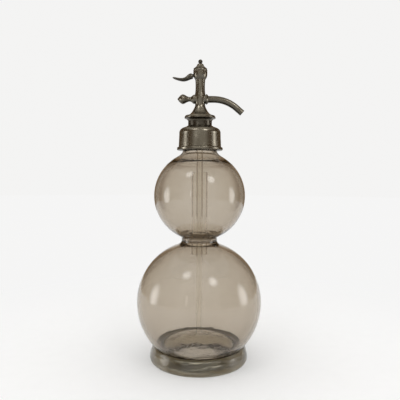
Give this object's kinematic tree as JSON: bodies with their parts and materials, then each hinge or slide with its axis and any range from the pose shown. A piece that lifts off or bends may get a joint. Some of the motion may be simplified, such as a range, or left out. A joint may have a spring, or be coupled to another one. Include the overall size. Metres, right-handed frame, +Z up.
{
  "type": "soda siphon",
  "caption": "Double-globe glass soda siphon with a screw-on metal head, sprung lever valve, curved spout, inner glass tubes and a thick glass foot.",
  "frame": {"origin": "middle of the foot ring's resting plane", "axes": "+Z up along the bottle's axis, +X towards the spout, -X towards the lever and the finger knob"},
  "size_m": [0.1704, 0.1704, 0.4081],
  "materials": {
    "bottle_glass": "polished, faint grey-brown tint",
    "foot_glass": "polished, thick olive glass",
    "tube_glass": "polished",
    "cement": "matt plaster",
    "pewter": "tarnished, worn",
    "brass": "turned",
    "rubber": "matt",
    "spring_steel": "drawn wire",
    "leather": "oiled"
  },
  "bodies": {
    "bottle": {"glass_bottle": "bottle_glass", "foot_ring": "foot_glass", "sleeve_tube": "tube_glass", "collar_cement": "cement", "neck_ring": "pewter"},
    "head": {"mouth_washer": "rubber", "head_stem": "pewter", "tube_seal": "rubber", "tube_gland": "brass", "dip_tube": "tube_glass", "tap_body": "pewter", "spout_tube": "pewter", "spout_ferrule": "pewter", "finger_knob": "pewter", "valve_seat": "brass", "rod_packing": "rubber", "packing_gland": "brass", "return_spring": "spring_steel", "lever_pin": "spring_steel", "cap_washer": "leather", "tower_cap": "pewter", "cap_finial": "pewter"},
    "collar": {"collar_nut": "pewter"},
    "valve": {"valve_rod": "brass", "valve_washer": "rubber", "spring_button": "brass"},
    "lever": {"lever": "pewter"}
  },
  "joints": [
    {"name": "head_lift", "type": "slide", "parent": "bottle", "child": "head", "axis": [0, 0, 1], "range_m": [0, 0.01201]},
    {"name": "collar_turn", "type": "hinge", "parent": "head", "child": "collar", "pos_m": [0, 0, 0.3], "axis": [0, 0, 1], "range_deg": [0, 1080]},
    {"name": "lever_press", "type": "hinge", "parent": "head", "child": "lever", "pos_m": [0.0038, 0, 0.386], "axis": [0, -1, 0], "range_deg": [0, 18], "stiffness_Nm_per_rad": 0.12, "springref_deg": -20.05},
    {"name": "valve_push", "type": "slide", "parent": "head", "child": "valve", "axis": [0, 0, -1], "range_m": [0, 0.0012], "deforming": ["return_spring"]}
  ],
  "couplings": [
    {"joint": "head_lift", "follows": "collar_turn", "m_per_rad": 0.00063662},
    {"joint": "valve_push", "follows": "lever_press", "m_per_rad": 0.0038}
  ]
}
